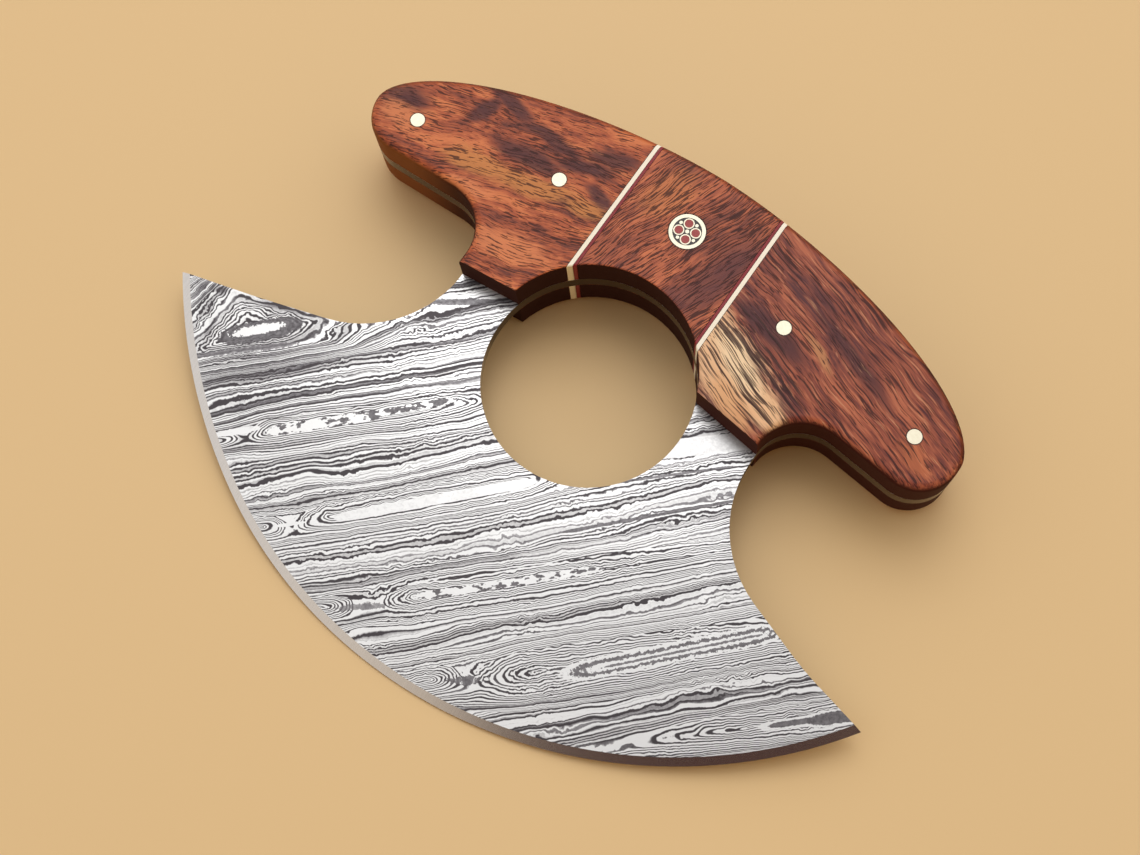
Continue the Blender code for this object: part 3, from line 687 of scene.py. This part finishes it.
def wood_figure(nodes, wood, loose, grain):
    """The colour of the wood without its pores, and its fibres."""
    bands = nodes.noise(grain, BANDS)
    mottle = nodes.noise(grain, MOTTLE)
    streaks = nodes.noise(grain, STREAKS)
    fibres = nodes.noise(grain, FIBRES, wood["length"])
    figure = nodes.plus(nodes.times(bands, BAND_SHARE), nodes.times(mottle, wood["mottle"]),
                        nodes.times(streaks, SOFT_SHARE - wood["mottle"]),
                        nodes.times(fibres, FIBRE_SHARE), FIGURE_DROP)
    colours = (wood["dark"], wood["middle"], wood["light"])
    colour = nodes.ramp(figure, list(zip(FIGURE_STOPS, colours)))
    uneven = nodes.plus(nodes.times(nodes.centred(streaks), PATCH_STREAKS),
                        nodes.times(nodes.centred(fibres), PATCH_FIBRES))
    for tint, strength, ovals in wood["patches"]:
        cover = nodes.most([nodes.patch(loose, *oval) for oval in ovals])
        shown = nodes.range(nodes.plus(cover, uneven), *PATCH_SPAN)
        colour = nodes.mix(nodes.times(shown, strength), colour, tint)
    if "stripes" in wood:
        cover = nodes.range(nodes.patch(loose, *wood["stripes"]), *STRIPE_COVER)
        stripes = nodes.range(nodes.noise(grain, STRIPES), *STRIPE_SPAN)
        colour = nodes.mix(nodes.times(stripes, cover), colour, STAIN)
    return colour, fibres


def wood_pores(nodes, wood, grain):
    """Short pores along the grain, 1 inside them and 0 outside."""
    dashes = nodes.noise(grain, DASHES, wood["length"])
    crowds = nodes.centred(nodes.noise(grain, CROWDS))
    dashes = nodes.plus(dashes, nodes.times(crowds, CROWD_SHARE))
    return nodes.range(dashes, wood["pore_share"], wood["pore_share"] + PORE_EDGE)


def pin_stain(nodes, place):
    """Where the wood is stained round the pins."""
    rings = []
    for middle, reach in PINS:
        off = nodes.vector("SUBTRACT", place, (*middle, 0))
        off = nodes.vector("LENGTH", nodes.vector("MULTIPLY", off, (1, 1, 0)))
        rings.append(nodes.range(off, reach, reach - STAIN_EDGE))
    return nodes.most(rings)


def on_walls(nodes, wood, place, colour):
    """The colour on faces, edges and walls, with painted shade on the walls and the crown's rounded
    edge and painted light on the walls at the left end, and where the walls are.
    """
    up, crownward = nodes.facings()
    walls = nodes.range(up, *WALL_SPAN)
    # Walls that face away from the crown get painted shade, lighter at the left end as painted
    # light.
    far = nodes.range(nodes.split(place)["X"], *LIT_FAR_WALL_SPAN)
    painted_wall_shading = nodes.mix(far, wood["painted_wall_shading"], wood["lit_far_wall"])
    # Walls that face the crown are darkened, partly as the darker end grain and partly as painted
    # shade.
    outside = nodes.mix(1.0, colour, END_GRAIN_AND_SHADE, "MULTIPLY")
    wall = nodes.mix(nodes.range(crownward, *WALL_SHADING_SPAN), outside, painted_wall_shading)
    # The crown's rounded edge is darkened as painted shade.
    amber = nodes.times(nodes.range(up, *ROUND_SPAN), nodes.range(crownward, *CROWN_EDGE_SHADE_SPAN))
    face = nodes.mix(amber, colour, nodes.mix(1.0, colour, CROWN_EDGE_SHADE, "MULTIPLY"))
    return nodes.mix(walls, face, wall), walls


def wood_material(name, wood):
    material, shader, nodes = new_material(name)
    place = nodes.knife_place()
    loose = nodes.warped(nodes.warped(place, *WIDE_BEND), FINE_BEND, wood["sway"])
    grain = nodes.turned(loose, wood["turn"])
    colour, fibres = wood_figure(nodes, wood, loose, grain)
    pores = wood_pores(nodes, wood, grain)
    colour = nodes.mix(nodes.times(pores, PORE_STRENGTH), colour, wood["pore"])
    colour = nodes.mix(nodes.times(pin_stain(nodes, place), STAIN_STRENGTH), colour, STAIN)
    colour, walls = on_walls(nodes, wood, place, colour)
    nodes.feed(shader.inputs["Base Color"], colour)
    polish = nodes.range(nodes.plus(pores, nodes.times(fibres, FIBRE_GLOSS)), *POLISH_SPAN)
    nodes.feed(shader.inputs["Roughness"], nodes.blend(walls, polish, WALL_ROUGHNESS))
    shader.inputs["Specular IOR Level"].default_value = WOOD_SPECULAR
    add_bump(nodes, shader, nodes.minus(nodes.times(fibres, FIBRE_RELIEF), pores))
    return material


# Small pieces

BRASS = (0.80, 0.76, 0.62)
DULL_BRASS = (0.76, 0.70, 0.53)
BRASS_SCRATCHES = Noise(0.6, 0.08, 0.6, 2.0, 0.6)
BRASS_ROUGHNESS = (0.42, 0.56)
CLOUD_SPAN = (0.2, 0.8)
SPECKLE_DETAIL = (3.0, 0.6)     # how many finer noises, and how strong
ROUGHNESS_STEP = 0.15           # from the smoothest to the roughest place

# Speckled materials: their two colours, the speckles' size and the roughness
BONE = ((1.0, 0.94, 0.80), (0.93, 0.85, 0.70), 1.5, 0.32)
LINER = ((0.300, 0.016, 0.022), (0.200, 0.010, 0.014), 0.8, 0.45)
RED_RESIN = ((0.40, 0.040, 0.034), (0.28, 0.024, 0.022), 0.5, 0.30)
BLACK_RESIN = ((0.018, 0.014, 0.014), (0.040, 0.030, 0.028), 0.4, 0.30)


def brass_material():
    material, shader, nodes = new_material("brass")
    scratches = nodes.noise(nodes.knife_place(), BRASS_SCRATCHES)
    nodes.feed(shader.inputs["Base Color"], nodes.mix(scratches, BRASS, DULL_BRASS))
    shader.inputs["Metallic"].default_value = 1
    roughness = nodes.range(scratches, *CLOUD_SPAN, *BRASS_ROUGHNESS)
    nodes.feed(shader.inputs["Roughness"], roughness)
    return material


def speckled_material(name, colour, other, size, rough):
    material, shader, nodes = new_material(name)
    cloud = nodes.noise(nodes.knife_place(), Noise(size, size, size, *SPECKLE_DETAIL))
    nodes.feed(shader.inputs["Base Color"], nodes.mix(cloud, colour, other))
    roughness = nodes.range(cloud, *CLOUD_SPAN, rough, rough + ROUGHNESS_STEP)
    nodes.feed(shader.inputs["Roughness"], roughness)
    return material


def make_looks():
    """The material for each word that the pieces' names hold."""
    looks = {
        "scale_left": wood_material("rosewood_left", LEFT_WOOD),
        "scale_centre": wood_material("hardwood_centre", CENTRE_WOOD),
        "scale_right": wood_material("hardwood_right", RIGHT_WOOD),
        "strip": speckled_material("bone", *BONE),
        "liner": speckled_material("red_liner", *LINER),
        "core": speckled_material("red_resin", *RED_RESIN),
        "resin": speckled_material("black_resin", *BLACK_RESIN),
        "blade": steel_material(),
    }
    brass = brass_material()
    return looks | {word: brass for word in ("pin", "sleeve", "tube", "rod")}


def smooth_piece(piece, crease):
    """Shade a piece's facets as the curves that they stand for, without moving them."""
    mesh = piece.data
    if "custom_normal" in mesh.attributes:
        mesh.attributes.remove(mesh.attributes["custom_normal"])
    mesh.shade_smooth()
    weld = piece.modifiers.new("weld", "WELD")
    weld.merge_threshold = WELD_REACH
    split = piece.modifiers.new("creases", "EDGE_SPLIT")
    split.split_angle = math.radians(crease)
    normals = piece.modifiers.new("normals", "WEIGHTED_NORMAL")
    normals.keep_sharp = True


def dress_knife():
    looks = make_looks()
    for name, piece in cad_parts.items():
        word = next(word for word in looks if word in name)
        for slot in piece.material_slots:
            slot.material = looks[word]
        smooth_piece(piece, BLADE_CREASE if name == "blade" else CREASE)


# Floor, light and view

def make_floor():
    half = FLOOR_HALF
    corners = [(-half, -half, 0), (half, -half, 0), (half, half, 0), (-half, half, 0)]
    mesh = bpy.data.meshes.new("floor")
    mesh.from_pydata(corners, [], [range(len(corners))])
    floor = bpy.data.objects.new("floor", mesh)
    bpy.context.scene.collection.objects.link(floor)
    material, shader, _ = new_material("floor")
    shader.inputs["Base Color"].default_value = (*FLOOR_COLOUR, 1)
    shader.inputs["Roughness"].default_value = FLOOR_ROUGHNESS
    mesh.materials.append(material)


def make_lamp():
    data = bpy.data.lights.new("key", "AREA")
    data.shape = "SQUARE"
    data.size = KEY_WIDTH
    data.energy = KEY_POWER
    key = bpy.data.objects.new("key", data)
    key.location = KEY_PLACE
    key.rotation_euler = (-KEY_PLACE).to_track_quat("-Z", "Y").to_euler()
    bpy.context.scene.collection.objects.link(key)


def make_sky():
    """A sky that lights the knife, and a backdrop in the floor's tint that only the camera sees."""
    world = bpy.data.worlds.new("sky")
    bpy.context.scene.world = world
    world.use_nodes = True
    nodes = Nodes(world.node_tree)
    toward = nodes.add("ShaderNodeTexCoord").outputs["Generated"]
    side = nodes.range(nodes.vector("DOT_PRODUCT", toward, SKY_TOWARD), SKY_FROM, SKY_TO)
    shade = nodes.range(nodes.vector("DOT_PRODUCT", toward, SHADE_TOWARD), SHADE_FROM, SHADE_TO)
    sky = nodes.mix(shade, nodes.mix(side, SKY_DIM, SKY_BRIGHT), SHADE_COLOUR)
    seen = nodes.add("ShaderNodeLightPath").outputs["Is Camera Ray"]
    sky = nodes.mix(seen, sky, BACKDROP)
    nodes.feed(world.node_tree.nodes["Background"].inputs["Color"], sky)


def make_camera():
    data = bpy.data.cameras.new("camera")
    data.lens = CAMERA_LENS
    data.sensor_width = SENSOR_WIDTH
    camera = bpy.data.objects.new("camera", data)
    camera.location = CAMERA_PLACE
    camera.rotation_euler = [math.radians(angle) for angle in CAMERA_TURN]
    bpy.context.scene.collection.objects.link(camera)
    bpy.context.scene.camera = camera


dress_knife()
make_floor()
make_lamp()
make_sky()
make_camera()
bpy.context.scene.view_settings.view_transform = "Standard"
